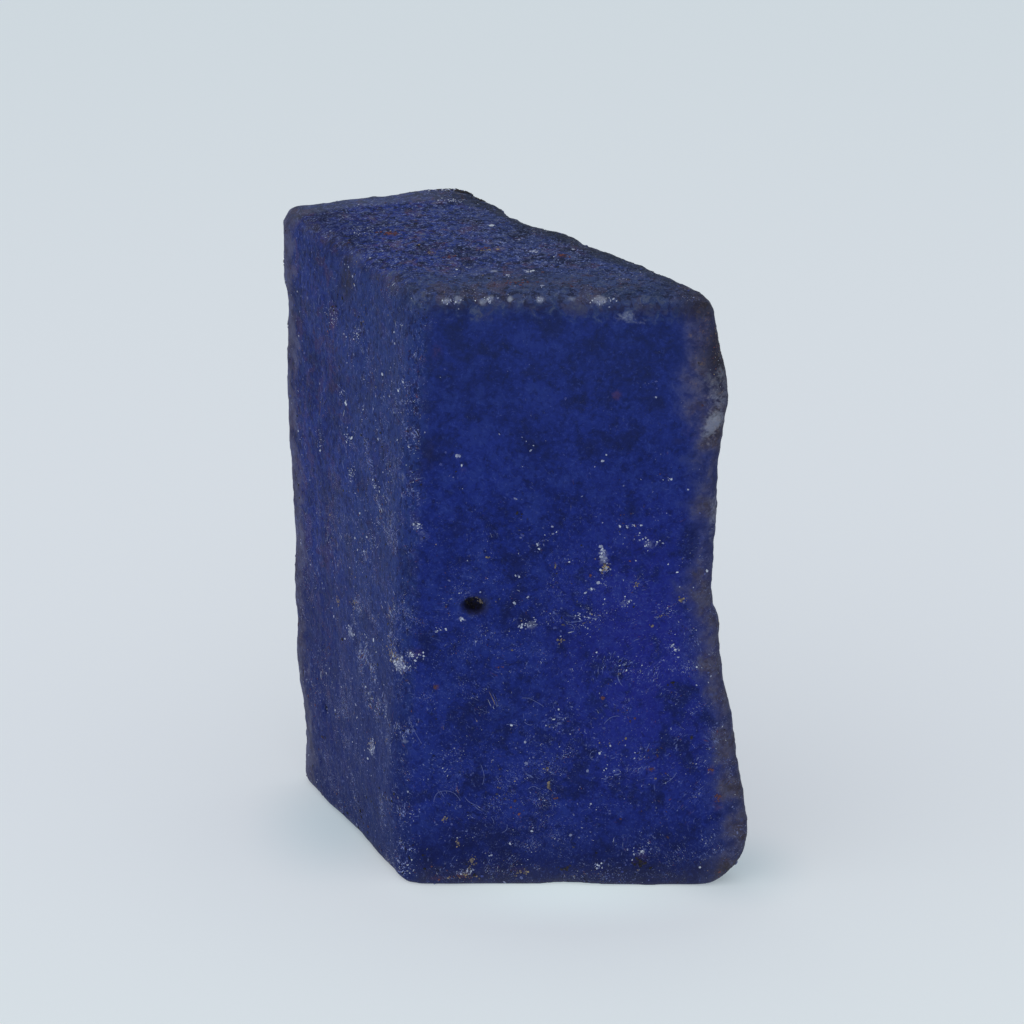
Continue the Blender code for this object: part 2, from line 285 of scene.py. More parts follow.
def masks_of(points, normals, ridges):
    """How strongly each part of the finish shows at each point, by name."""
    across, inwards, height = points.T
    rim = 1.0 - ease(inset(height, across) / np.interp(height, *zip(*RIM_REACH)), 0.0, 1.0)
    rim *= ease(inwards, -1.0, -4.0)
    arris = ease(across, -2.4, -3.2) * ease(inwards, -2.5, -5.0) * (1.0 - ease(height, 27.8, 28.8))
    in_pit = ease(nearness(points, PIT, PIT_REACH), 0.0, 0.2)
    in_chip = ease(nearness(points, BACK_CHIP, BACK_CHIP_REACH), 0.0, 0.5)
    plain = (1.0 - in_pit) * (1.0 - rim) * (1.0 - arris) * (1.0 - BACK_CHIP_LOSS * in_chip)
    top = height > CROWN_ABOVE
    outline = np.zeros(len(points))
    outline[top] = 1.0 - ease(inset(across[top], inwards[top]), 1.5, 3.0)
    on_crown, rightwards = ease(height, 28.3, 28.9), ease(across, -4.5, -1.5)
    return {
        "left": looks_along(normals, LEFT, 0.5, 0.82),
        "crown": looks_along(normals, CROWN, 0.48, 0.88),
        "rear": ease(normals[:, 1], 0.25, 0.6),
        "rim": rim,
        "left_edge": 1.0 - ease(inset(height, -across), 0.0, 1.1),
        "crown_front": ease(inwards, -2.0, -6.9) * ease(height, 27.6, 29.0),
        "ridges": ridges * plain,
        "far_edge": outline * (rightwards * on_crown),
        "back_edge": ease(outline, 0.55, 1.0) * (1.0 - rightwards) * on_crown,
        "pale": dabs(points, PALE_DABS),
        "brown": dabs(points, BROWN_DABS),
        "grime": dabs(points, GRIME_DABS),
        "dark": dabs(points, DARK_DABS),
    }


def hold_reliefs(skin, points, ridges, masks):
    """Say where each relief is to be pressed in. Nothing moves where the stone stands."""
    above_ground = ease(points[:, 2], 0.0, 0.5)
    hold(skin, "all_over", above_ground)
    for name in ("left", "crown", "rear"):
        hold(skin, name, masks[name] * above_ground)
    hold(skin, "ridges", np.maximum(ridges, 0.7 * masks["rim"] ** 2) * above_ground)
    shares = [(centre, radii, depth / DEEPEST_HOLLOW) for centre, radii, depth in HOLLOWS]
    hold(skin, "hollows", dabs(points, shares))


def press_reliefs(skin):
    for name, size, height, group, stretch in RELIEF:
        guide = add_object(name, None)
        guide.scale = stretch
        bpy.context.view_layer.update()
        texture = bpy.data.textures.new(name, "CLOUDS")
        texture.noise_scale = size * MM
        texture.noise_depth = 2
        apply_modifier(
            skin, "DISPLACE", texture=texture, texture_coords="OBJECT", texture_coords_object=guide,
            vertex_group="hold_" + group, mid_level=0.5, strength=height * MM,
        )
        bpy.data.objects.remove(guide)
    apply_modifier(
        skin, "DISPLACE", vertex_group="hold_hollows", mid_level=0.0, strength=-DEEPEST_HOLLOW * MM,
    )
    skin.vertex_groups.clear()


def make_skin():
    """The solid's own form with a fine worn skin, which stands in for the plain solid."""
    skin = add_object("tanzanite_skin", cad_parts["tanzanite"].data.copy())
    work_on(skin)
    bpy.ops.object.mode_set(mode="EDIT")
    bpy.ops.mesh.select_all(action="SELECT")
    bpy.ops.mesh.remove_doubles(threshold=WELD * MM)
    bpy.ops.mesh.normals_make_consistent(inside=False)
    bpy.ops.object.mode_set(mode="OBJECT")
    apply_modifier(skin, "REMESH", mode="VOXEL", voxel_size=SKIN_VOXEL * MM)
    apply_modifier(skin, "SMOOTH", factor=0.5, iterations=SKIN_SMOOTHING)
    skin.data.materials.clear()
    flatness = np.max([normals_of(skin.data) @ np.array(unit(face)) for face in FACES], axis=0)
    ridges = 1.0 - ease(flatness, *EDGE_TO_FLAT)
    scar(skin.data, SCARS)

    points = points_of(skin.data)
    masks = masks_of(points, normals_of(skin.data), ridges)
    for name, values in masks.items():
        paint(skin, name, values)
    hold_reliefs(skin, points, ridges, masks)
    press_reliefs(skin)
    work_on(skin)
    bpy.ops.object.shade_smooth()
    return skin


# ---- finishes written as expressions
class Value:
    """A socket of a finish. Arithmetic on it adds the Math nodes."""

    def __init__(self, finish, socket):
        self.finish = finish
        self.socket = socket

    def maths(self, operation, first, second):
        return self.finish.node("ShaderNodeMath", {"operation": operation}, {0: first, 1: second})

    def __add__(self, other):
        return self.maths("ADD", self, other)

    __radd__ = __add__

    def __sub__(self, other):
        return self.maths("SUBTRACT", self, other)

    def __rsub__(self, other):
        return self.maths("SUBTRACT", other, self)

    def __mul__(self, other):
        return self.maths("MULTIPLY", self, other)

    __rmul__ = __mul__

    def twin(self, output):
        """Another output of the node that this value comes from."""
        return Value(self.finish, self.socket.node.outputs[output])


class Finish:
    """A material built around one Principled shader."""

    def __init__(self, name, **constants):
        self.material = bpy.data.materials.new(name)
        self.material.use_nodes = True
        self.tree = self.material.node_tree
        self.shader = self.tree.nodes["Principled BSDF"]
        for socket, value in constants.items():
            self.shader.inputs[socket.replace("_", " ")].default_value = value

    def node(self, kind, settings=None, sockets=None, output=0):
        made = self.tree.nodes.new(kind)
        for name, value in (settings or {}).items():
            setattr(made, name, value)
        for name, value in (sockets or {}).items():
            if isinstance(value, Value):
                self.tree.links.new(value.socket, made.inputs[name])
            else:
                made.inputs[name].default_value = value
        return Value(self, made.outputs[output])

    def feed(self, socket, value):
        self.tree.links.new(value.socket, self.shader.inputs[socket])

    def vector(self, operation, *sockets, output=0):
        return self.node(
            "ShaderNodeVectorMath", {"operation": operation}, dict(enumerate(sockets)), output
        )

    def millimetres(self, stretch=(1.0, 1.0, 1.0)):
        """Places on the piece, in millimetres. A stretch draws a pattern out along an axis."""
        place = self.node("ShaderNodeTexCoord", output="Object")
        return self.vector("MULTIPLY", place, tuple(1.0 / MM / part for part in stretch))

    def noise(self, place, size, detail=2.0, roughness=0.5):
        return self.node(
            "ShaderNodeTexNoise",
            sockets={
                "Vector": place, "Scale": 1.0 / size, "Detail": detail, "Roughness": roughness,
            },
            output="Fac",
        )

    def warped(self, place, size, reach):
        """Places pushed about by up to reach, in swirls of the given size."""
        swirl = self.noise(place, size, 0.0).twin("Color")
        return self.vector("MULTIPLY_ADD", swirl, (reach,) * 3, place)

    def hairlines(self, place, size, width):
        """Fine lines that wander through the stone and break off again and again."""
        away = self.noise(place, size, 1.0, 0.6) - 0.5
        line = self.ease(away.maths("ABSOLUTE", away, 0.0), width, 0.0)
        return line * self.ease(self.noise(place, size * 0.42, 1.0), 0.5, 0.6)

    def ease(self, value, low, high, start=0.0, end=1.0):
        """start where the value is low, end where it is high, and a smooth step between."""
        return self.node(
            "ShaderNodeMapRange", {"interpolation_type": "SMOOTHSTEP"},
            {"Value": value, "From Min": low, "From Max": high, "To Min": start, "To Max": end},
        )

    def near(self, place, centre, radii):
        """1 at the centre of an ellipsoid, falling to 0 at its surface."""
        shares = self.vector("DIVIDE", self.vector("SUBTRACT", place, centre), radii)
        return self.ease(self.vector("LENGTH", shares, output="Value"), 0.0, 1.0, 1.0, 0.0)

    def painted(self, name):
        return self.node("ShaderNodeAttribute", {"attribute_name": name}, output="Fac")

    def ragged(self, mask, wander, margin):
        """A mask with a wandering border; where it is 0 it stays 0."""
        return mask + wander * self.ease(mask, 0.0, margin)

    def height(self, place):
        """How high a place is. Its twins X and Y are the place across and inwards."""
        return self.node("ShaderNodeSeparateXYZ", sockets={0: place}, output="Z")

    def mix(self, share, first, second):
        """The first colour where share is 0, the second where it is 1."""
        return self.node(
            "ShaderNodeMix", {"data_type": "RGBA"}, {0: share, 6: first, 7: second}, output=2
        )

    def tinted(self, base, *tints, within=None):
        """Tints over a base: (pattern, where it starts, where it is full, share, colour)."""
        for pattern, low, high, strongest, tint in tints:
            share = self.ease(pattern, low, high, 0.0, strongest)
            base = self.mix(share if within is None else within * share, base, tint)
        return base


# ---- the stone's finish
DEEP_BLUE = colour(15, 29, 96)
CLEAR_BLUE = colour(30, 47, 134)
VIOLET_BLUE = colour(35, 38, 142)
NIGHT_BLUE = colour(19, 26, 70)
HAZE_AND_SHEEN_BLUE = colour(46, 66, 122)
STREAK_BLUE = colour(34, 60, 158)
SLATE = colour(58, 74, 104)
SLATE_NIGHT = colour(19, 27, 58)
RIM_MAUVE = colour(92, 92, 120)
RIM_BROWN = colour(74, 67, 76)
RIM_EARTH = colour(112, 94, 90)
RIM_HAZE = colour(60, 67, 108)
EDGE_GREY = colour(98, 105, 126)
EDGE_NIGHT = colour(36, 43, 54)
FOOT_SLATE = colour(66, 66, 82)
GRIME = colour(42, 39, 42)
PLUM = colour(72, 46, 84)
SCRATCH = colour(76, 96, 172)
DUST = colour(128, 142, 198)
PALE = colour(212, 219, 228)
LILAC = colour(196, 204, 226)
TAN = colour(156, 138, 108)
RUST = colour(108, 70, 76)
NEAR_BLACK = colour(14, 11, 12)

def stone_finish():
    """Frosted deep blue with cloudy depth, powdery dust, mineral specks and worn edges, with
    painted light: a violet glow low on the right and a grazing sheen on the sides, crown and rims.
    """
    stone = Finish(
        "frosted_blue_stone", IOR=1.45, Specular_IOR_Level=0.12, Sheen_Weight=0.03,
        Sheen_Roughness=0.45, Sheen_Tint=colour(190, 210, 240),
    )
    place = stone.millimetres()
    grain = {
        "depths": stone.noise(place, 3.6),
        "clouds": stone.noise(stone.warped(place, 0.7, 0.5), 1.3, 4.0, 0.62),
        "tufts": stone.noise(stone.warped(place, 0.3, 0.4), 0.42, 3.0, 0.66),
        "flocks": stone.noise(stone.warped(place, 0.15, 0.3), 0.19, 2.0, 0.6),
        "grit": stone.noise(place, 0.17, 2.0, 0.7),
        "powder": stone.noise(place, 0.085, 1.0),
        "upright": stone.noise(stone.millimetres((1.0, 1.0, 1.8)), 0.2, 3.0, 0.7),
        "speckle": stone.noise(place, 0.22, 3.0, 0.72),
        "patches": stone.noise(stone.warped(place, 0.6, 1.6), 1.05, 2.0, 0.55),
    }
    base = body_colour(stone, place, grain)
    base = side_colours(stone, place, grain, base)
    base = crown_colours(stone, place, grain, base)
    base = edge_colours(stone, place, grain, base)
    base = add_scratches(stone, place, grain, base)
    base = add_specks(stone, place, grain, base)
    base = add_stains(stone, grain, base)
    stone.feed("Base Color", base)
    stone.feed("Roughness", stone.ease(grain["grit"], 0.3, 0.7, 0.52, 0.72))

    furrows = (stone.painted("left") + stone.painted("rear")) * grain["upright"]
    relief = grain["grit"] * 0.65 + grain["powder"] * 0.4 + furrows * 0.6
    relief = relief + stone.painted("crown") * grain["speckle"] * 0.8
    bump = stone.node(
        "ShaderNodeBump", sockets={"Strength": 0.6, "Distance": 0.05 * MM, "Height": relief},
        output="Normal",
    )
    stone.feed("Normal", bump)
    return stone.material


def body_colour(stone, place, grain):
    """The blue of the body: cloudy, with a painted violet glow low on the right, the light that
    shines through the stone there, and a darker foot.
    """
    clouds, grit, tufts, flocks = (grain[name] for name in ("clouds", "grit", "tufts", "flocks"))
    height = stone.height(place)
    tone = grain["depths"] * 0.35 + clouds * 0.45 + tufts * 0.55 + flocks * 0.4
    # Painted glow: light shining through the stone, painted as a violet patch low on the right.
    glow = stone.near(place, (6.0, -7.4, 11.5), (6.5, 5.0, 11.0)) * stone.ease(clouds, 0.3, 0.62)
    base = stone.mix(stone.ease(tone, 0.7, 1.05), DEEP_BLUE, CLEAR_BLUE)
    return stone.tinted(
        stone.mix(glow * 0.65, base, VIOLET_BLUE),
        (clouds, 0.47, 0.35, 0.4, NIGHT_BLUE),
        (clouds + tufts * 0.5, 0.8, 0.92, 0.16, HAZE_AND_SHEEN_BLUE),
        (tufts + flocks * 0.4, 0.62, 0.48, 0.42, NIGHT_BLUE),
        (flocks + grit * 0.3, 0.76, 0.9, 0.2, SCRATCH),
        (height, 17.0, 29.0, 0.16, SLATE),
        (height, 4.5, 0.2, 0.7, NIGHT_BLUE),
        (height + tufts * 1.6, 2.3, 0.7, 0.45, FOOT_SLATE),
    )


def side_colours(stone, place, grain, base):
    """The left side and the rear: hazier, most of all near the front, and faintly streaked. The
    haze is partly dust and partly a painted sheen, the pale reflection these faces show at a
    grazing view.
    """
    clouds, upright, height = grain["clouds"], grain["upright"], stone.height(place)
    sides = stone.painted("left") + stone.painted("rear")
    near_front = stone.ease(height.twin("Y"), 1.0, -3.5)
    # Painted sheen mixed with dust: a pale grazing reflection painted over the sides, strongest
    # near the front.
    dust_and_sheen = (0.04 + near_front * 0.37) * stone.ease(clouds, 0.26, 0.62, 0.35, 1.0)
    base = stone.tinted(
        stone.mix(sides * dust_and_sheen, base, HAZE_AND_SHEEN_BLUE),
        (upright, 0.53, 0.62, 0.48, HAZE_AND_SHEEN_BLUE),
        (upright, 0.48, 0.39, 0.74, NIGHT_BLUE),
        within=sides,
    )
    plum = stone.ease(grain["patches"], 0.52, 0.64) * (1.0 - near_front * 0.6)
    base = stone.mix(sides * plum * 0.35, base, PLUM)
    return stone.tinted(base, (height, 17.0, 5.0, 0.62, DEEP_BLUE), within=sides)


def crown_colours(stone, place, grain, base):
    """The crown: clear blue at the left, slate at the right and speckled all over. Its greyer tints
    are partly its own slate colour and dust and partly a painted sheen, the pale reflection the
    crown shows at a grazing view.
    """
    clouds, speckle = grain["clouds"], grain["speckle"]
    tufts, patches = grain["tufts"], grain["patches"]
    crown = stone.painted("crown")
    across = stone.height(place).twin("X")
    base = stone.tinted(base, (tufts, 0.34, 0.56, 0.72, STREAK_BLUE), within=crown)
    rightwards = stone.ease(across + clouds * 6.0, -3.5, 6.5, 0.04, 0.48)
    base = stone.tinted(
        stone.mix(crown * rightwards, base, SLATE),
        (clouds, 0.5, 0.38, 0.72, SLATE_NIGHT),
        (clouds + tufts * 0.6, 0.84, 0.96, 0.45, HAZE_AND_SHEEN_BLUE),
        (patches, 0.51, 0.6, 0.3, PLUM),
        (patches, 0.61, 0.67, 0.35, RUST),
        (patches, 0.44, 0.36, 0.45, SLATE_NIGHT),
        (tufts, 0.5, 0.38, 0.62, SLATE_NIGHT),
        within=crown,
    )
    base = stone.tinted(
        base,
        (tufts, 0.56, 0.68, 0.4, EDGE_GREY),
        (speckle + tufts * 0.3, 0.63, 0.54, 0.6, SLATE_NIGHT),
        (speckle + tufts * 0.5, 0.78, 0.92, 0.55, EDGE_GREY),
        (grain["flocks"] * 0.6 + grain["powder"] * 0.5, 0.61, 0.68, 0.8, DUST),
        within=crown * (1.0 - stone.painted("crown_front") * 0.6),
    )
    for centre, radii, strongest, tint in (
        ((-8.6, 1.2, 29.2), (3.6, 5.0, 2.0), 0.5, NIGHT_BLUE),
        ((3.0, 3.0, 29.2), (6.5, 5.5, 2.0), 0.62, EDGE_NIGHT),
        ((-1.0, -6.0, 29.2), (7.0, 3.5, 2.0), 0.16, EDGE_GREY),
    ):
        base = stone.mix(stone.near(place, centre, radii) * crown * strongest, base, tint)
    base = stone.mix(stone.painted("back_edge") * 0.42, base, EDGE_GREY)
    far_edge = stone.ragged(stone.painted("far_edge"), (clouds + tufts - 1.0) * 1.2, 0.3)
    return stone.tinted(base, (far_edge, 0.1, 0.7, 0.72, EDGE_NIGHT))


def edge_colours(stone, place, grain, base):
    """Edges in grey, mauve and brown, each in its own measure: rubbed wear on the ridges and the
    crown's front lip, and on the right and left rims wear and stain under a painted sheen, the
    greyer, less blue look of faces turning away to a grazing view.
    """
    clouds, grit, tufts = grain["clouds"], grain["grit"], grain["tufts"]
    height = stone.height(place)
    base = stone.tinted(
        base,
        (clouds, 0.36, 0.6, 1.0, RIM_MAUVE),
        (tufts, 0.54, 0.4, 1.0, RIM_BROWN),
        within=stone.painted("ridges") * (0.25 + stone.painted("rear") * 0.25),
    )
    lip = stone.ragged(stone.painted("crown_front"), (clouds + tufts - 1.0) * 1.4, 0.3)
    lip = stone.ease(lip, 0.15, 1.0)
    base = stone.tinted(
        stone.mix(lip * stone.ease(tufts, 0.36, 0.6, 0.05, 0.5), base, SLATE),
        (tufts, 0.5, 0.38, 0.6, SLATE_NIGHT),
        (tufts + grit * 0.3, 0.7, 0.84, 0.4, EDGE_GREY),
        (grain["patches"], 0.5, 0.6, 0.35, RIM_BROWN),
        within=lip,
    )
    # Right rim: real wear and stain mixed with a painted grazing sheen, grey-blue further in and
    # mauve-brown towards the silhouette; the outermost strip is darker, partly stain and partly
    # painted shade where less light shines through the thin edge.
    wander = (clouds - 0.5) * 1.2 + (grain["depths"] - 0.5) * 1.3 + (tufts - 0.5) * 0.5
    rim = stone.ragged(stone.painted("rim"), wander, 0.35)
    outwards = rim + stone.ease(height, 21.0, 25.0, 0.0, 0.16)
    tint = stone.mix(stone.ease(tufts, 0.4, 0.6), RIM_BROWN, RIM_MAUVE)
    tint = stone.mix(stone.ease(outwards, 0.62, 1.2), RIM_HAZE, tint)
    share = stone.ease(rim, 0.36, 1.2) * stone.ease(height, 25.5, 27.5, 0.9, 0.62)
    base = stone.tinted(
        stone.mix(share, base, tint),
        (rim, 0.8, 1.25, 0.32, GRIME),
        (stone.painted("rim"), 0.95, 1.0, 0.25, GRIME),
    )
    crumbly = grain["flocks"] * 0.6 + grit * 0.5
    base = stone.tinted(
        base,
        (crumbly, 0.56, 0.7, 0.6, RIM_EARTH),
        (crumbly, 0.52, 0.42, 0.28, NEAR_BLACK),
        within=stone.ease(rim, 0.8, 1.1) * stone.ease(height, 21.0, 23.5, 0.3, 1.0),
    )
    shoulder = stone.ease(height, 23.4, 25.6) * stone.ease(rim + (tufts - 0.5) * 0.8, 0.3, 0.85)
    base = stone.tinted(base, (clouds, 0.62, 0.42, 0.38, SLATE_NIGHT), within=shoulder)
    # Left rim: mauve-brown wear under a painted grazing sheen.
    wander = (clouds - 0.5) * 2.0 + (tufts - 0.5) * 1.2
    side = stone.ragged(stone.painted("left_edge"), wander, 0.35)
    tint = stone.mix(stone.ease(clouds, 0.4, 0.6), RIM_BROWN, RIM_MAUVE)
    return stone.mix(stone.ease(side, 0.3, 1.0, 0.0, 0.7), base, tint)


def add_scratches(stone, place, grain, base):
    """Faint broken scratches, in every direction in front and drawn out on the sides and crown."""
    drift = stone.ease(grain["depths"] * 0.5 + grain["clouds"] * 0.5, 0.42, 0.58, 0.35, 1.0)
    calm = stone.ease(stone.height(place), 25.0, 14.0, 0.35, 1.0)
    calm = calm * (1.0 - stone.painted("rear") * 0.75)
    for where, size, width, strength, tint in (
        (place, 0.55, 0.03, calm * 0.26, SCRATCH),
        (stone.warped(place, 0.9, 2.0), 0.34, 0.034, calm * 0.26, SCRATCH),
        (stone.warped(place, 1.1, 3.0), 0.42, 0.035, calm * 0.4, NIGHT_BLUE),
        (stone.millimetres((1.0, 1.0, 2.2)), 0.34, 0.03, stone.painted("left") * 0.32, DUST),
        (stone.millimetres((1.3, 1.0, 1.0)), 0.3, 0.035, stone.painted("crown") * 0.4, DUST),
    ):
        base = stone.mix(stone.hairlines(where, size, width) * drift * strength, base, tint)
    return base


def add_specks(stone, place, grain, base):
    """Powdery dust and ragged specks of pale, tan, rust-coloured and dark mineral, in drifts."""
    drift = stone.ease(stone.noise(place, 2.4, 2.0, 0.6), 0.38, 0.62)
    height = stone.height(place)
    left = stone.painted("left") * stone.ease(height.twin("Y"), 1.5, -4.0, 0.4, 0.95)
    dusty = stone.ease(height, 23.0, 11.0) * 0.8 * (1.0 - stone.painted("left") * 0.6) + 0.18
    dusty = (dusty + left + stone.painted("crown") * 0.6) * (1.0 - stone.painted("rear") * 0.5)
    dusty = dusty * stone.ease(grain["patches"], 0.4, 0.6, 0.45, 1.3)
    powdery = stone.ease(grain["powder"] * 0.6 + grain["grit"] * 0.6, 0.66, 0.86)
    base = stone.mix(powdery * dusty * 0.09, base, DUST)
    fine, coarse = stone.warped(place, 4.0, 15.0), stone.warped(place, 7.0, 22.0)
    for where, size, threshold, strength, tint in (
        (fine, 0.085, 0.69, 0.3, DUST),
        (coarse, 0.14, 0.67, 0.5, DUST),
        (fine, 0.22, 0.67, 0.34, DUST),
        (coarse, 0.105, 0.735, 0.9, PALE),
        (fine, 0.16, 0.735, 0.9, PALE),
        (coarse, 0.19, 0.75, 0.55, TAN),
        (fine, 0.25, 0.715, 0.6, RUST),
        (coarse, 0.21, 0.69, 0.6, NEAR_BLACK),
    ):
        crumbs = stone.noise(where, size, 1.5, 0.6)
        crumbs = stone.ease(crumbs + drift * dusty * 0.05, threshold + 0.015, threshold + 0.065)
        base = stone.mix(crumbs * dusty * strength, base, tint)
    return base


def add_stains(stone, grain, base):
    """The dabs painted on the skin, broken up by the grain."""
    wander = (grain["grit"] - 0.5) + (grain["tufts"] - 0.5) * 1.6
    wander = wander * (1.0 - stone.painted("crown") * 0.55)
    bare = grain["tufts"] + grain["grit"] * 0.5
    for name, tint, strongest, raggedness in (
        ("grime", GRIME, 0.72, 1.0), ("brown", RUST, 0.6, 1.3),
        ("pale", LILAC, 0.52, 1.2), ("dark", NEAR_BLACK, 0.96, 0.8),
    ):
        stain = stone.ragged(stone.painted(name), wander * raggedness, 0.5)
        worn = stone.ease(bare, 0.8, 0.62, 1.0 - 0.4 * raggedness, 1.0)
        base = stone.mix(stone.ease(stain, 0.15, 1.0) * worn * strongest, base, tint)
    return base


# ---- where grains and fibres lie
HIGH_UP = 0.12  # how dusty the front is high up, as a share of low down
DUSTY_FRONT, DUSTY_FOOT = (24.0, 13.0), (1.6, 0.6)  # heights between which they grow dusty
BARE_BELOW = 0.15
UNDERSIDE = -0.6  # how far down the foot may look


class Ground:
    """The finished skin as the ground that grains and fibres are laid on."""

    def __init__(self, skin):
        faces = skin.data.polygons
        self.points = points_of(skin.data)
        self.corners = rows_of(faces, "vertices", 4, np.int32)
        self.middles = self.points[self.corners].mean(axis=1)
        self.normals = rows_of(faces, "normal")
        self.tree = BVHTree.FromPolygons(self.points.tolist(), self.corners.tolist())

    def nearest(self, place):
        """The nearest point of the skin and the way it faces."""
        point, normal, _, _ = self.tree.find_nearest(Vector(place))
        return point, normal

    def pick(self, random, density, count):
        """Random places on the skin, more of them where the density is high."""
        chosen = random.choice(len(self.middles), count, p=density / density.sum())
        shares = random.dirichlet((1.0,) * 4, count)
        return np.einsum("ij,ijk->ik", shares, self.points[self.corners[chosen]])


def density_of(ground, front, left, crown, rear, foot=0.0):
    """How thickly each face of the stone is strewn; the front is strewn mostly low down."""
    normals, heights = ground.normals, ground.middles[:, 2]
    lowness = HIGH_UP + (1.0 - HIGH_UP) * ease(heights, *DUSTY_FRONT)
    return (
        front * looks_along(normals, FRONT) * lowness
        + left * looks_along(normals, LEFT)
        + crown * looks_along(normals, CROWN)
        + rear * ease(normals[:, 1], 0.2, 0.6)
        + foot * ease(heights, *DUSTY_FOOT) * (normals[:, 2] > UNDERSIDE)
    ) * (heights > BARE_BELOW)


# ---- grains
STREWING_SEED, SHAPING_SEED = 31, 32
SHAPES = 8
CORNERS = (0.62, 1.25)  # how far the corners of a shape lie from its middle
SLIGHTEST, STOUTEST = (0.7, 0.55, 0.35), (1.4, 1.1, 0.7)  # length, width and height of grains
GATHERED = 0.55  # share of the strewn grains that gather around another one
GATHERING = 0.45  # how far from it they lie
GRAINS_PER_HOST = 12
HEAP_FILL, HEAP_WIDTH, HEAP_RADII = 2.4, 0.7, (0.25, 0.95)  # shares of what a heap's row says


def make_shapes(random):
    """A few angular grains, as (points, faces), each about one millimetre in radius."""
    bpy.ops.object.select_all(action="DESELECT")
    bpy.ops.mesh.primitive_ico_sphere_add(subdivisions=1, radius=1.0 * MM)
    ball = bpy.context.object
    points = points_of(ball.data)
    faces = np.array([face.vertices[:] for face in ball.data.polygons])
    bpy.data.objects.remove(ball)
    size = (len(points), 1)
    return [points * random.uniform(*CORNERS, size) for _ in range(SHAPES)], faces


def make_grains(name, finish, ground, spots):
    """Angular grains bedded in the skin, joined in one piece. A spot is (place, radius, tone)."""
    random = np.random.default_rng(SHAPING_SEED)
    shapes, faces = make_shapes(random)
    all_points, all_faces, tones = [], [], []
    for index, (place, radius, tone) in enumerate(spots):
        point, normal = ground.nearest(place)
        upright = normal.to_track_quat("Z", "Y").to_matrix()
        spin = random.uniform(0.0, 2.0 * math.pi)
        cos, sin = math.cos(spin), math.sin(spin)
        turn = np.array(upright) @ np.array(((cos, -sin, 0.0), (sin, cos, 0.0), (0.0, 0.0, 1.0)))
        size = radius * random.uniform(SLIGHTEST, STOUTEST)
        grain = (shapes[index % SHAPES] * size) @ turn.T + np.array(point)
        all_faces.append(faces + len(all_points) * len(grain))
        all_points.append(grain)
        tones.append([tone] * len(grain))
    mesh = bpy.data.meshes.new(name)
    points, faces = np.concatenate(all_points) * MM, np.concatenate(all_faces)
    mesh.from_pydata(points.tolist(), [], faces.tolist())
    mesh.materials.append(finish)
    grains = add_object(name, mesh)
    paint(grains, "tone", np.concatenate(tones))
    belongs(grains)


def strewn(ground, random, density, count, smallest, largest):
    """Spots strewn at random, mostly small and faint."""
    places = ground.pick(random, density, count)
    gathered = random.uniform(0.0, 1.0, count) < GATHERED
    hosts = random.integers(0, count // GRAINS_PER_HOST, gathered.sum())
    places[gathered] = places[hosts] + random.normal(0.0, GATHERING, (gathered.sum(), 3))
    radii = smallest + (largest - smallest) * random.uniform(0.0, 1.0, count) ** 3
    return list(zip(places, radii, random.uniform(0.0, 1.0, count) ** 3))


def heaped(random, heaps):
    """Spots heaped around marks."""
    spots = []
    for place, spread, count, radius in heaps:
        offsets = random.normal(0.0, HEAP_WIDTH, (int(count * HEAP_FILL), 3)) * np.array(spread)
        for offset in offsets:
            size = radius * random.uniform(*HEAP_RADII)
            spots.append((np.array(place) + offset, size, random.uniform(0.0, 1.0)))
    return spots


